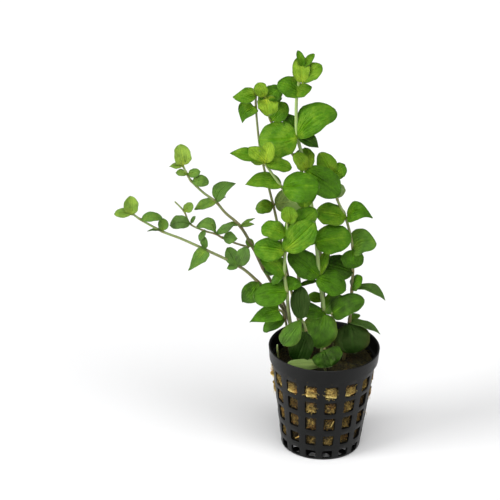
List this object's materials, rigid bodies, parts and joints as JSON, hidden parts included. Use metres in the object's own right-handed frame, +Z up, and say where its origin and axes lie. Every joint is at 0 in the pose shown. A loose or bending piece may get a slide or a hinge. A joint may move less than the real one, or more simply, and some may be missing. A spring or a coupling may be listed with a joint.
{
  "type": "potted creeping jenny",
  "caption": "Young creeping jenny with round paired leaves on leaning stems, rooted in rockwool in a black net pot.",
  "frame": {"origin": "the middle of the flat underside of the pot's base", "axes": "+Z up along the pot's axis, -Y towards the picture's camera, +X to its right"},
  "size_m": [0.1332, 0.0549, 0.2085],
  "materials": {
    "leaf": "satin",
    "stem": "satin",
    "pot": "satin",
    "rockwool": "fibrous"
  },
  "bodies": {
    "root": {"pot": "pot", "rockwool": "rockwool", "stem_tall": "stem", "stem_back": "stem", "stem_rosette": "stem", "stem_front": "stem", "stem_right": "stem", "stem_middle": "stem", "stem_short_left": "stem", "stem_short_middle": "stem", "stem_short_right": "stem", "stem_mouth": "stem", "stem_stub": "stem", "stem_upper_left": "stem", "stem_twig": "stem", "stem_lower_left": "stem", "leaf_tall_1": "leaf", "leaf_tall_2": "leaf", "leaf_tall_3": "leaf", "leaf_tall_4": "leaf", "leaf_tall_5": "leaf", "leaf_tall_6": "leaf", "leaf_tall_7": "leaf", "leaf_tall_8": "leaf", "leaf_tall_9": "leaf", "leaf_tall_10": "leaf", "leaf_tall_11": "leaf", "leaf_tall_12": "leaf", "leaf_back_1": "leaf", "leaf_front_1": "leaf", "leaf_front_2": "leaf", "leaf_front_3": "leaf", "leaf_front_4": "leaf", "leaf_front_5": "leaf", "leaf_right_1": "leaf", "leaf_right_2": "leaf", "leaf_right_3": "leaf", "leaf_right_4": "leaf", "leaf_right_5": "leaf", "leaf_right_6": "leaf", "leaf_right_7": "leaf", "leaf_right_8": "leaf", "leaf_middle_1": "leaf", "leaf_middle_2": "leaf", "leaf_middle_3": "leaf", "leaf_middle_4": "leaf", "leaf_middle_5": "leaf", "leaf_middle_6": "leaf", "leaf_short_left_1": "leaf", "leaf_short_left_2": "leaf", "leaf_short_middle_1": "leaf", "leaf_short_middle_2": "leaf", "leaf_short_middle_3": "leaf", "leaf_short_right_1": "leaf", "leaf_mouth_1": "leaf", "leaf_upper_left_1": "leaf", "leaf_lower_left_1": "leaf", "leaf_lower_left_2": "leaf"}
  },
  "joints": []
}
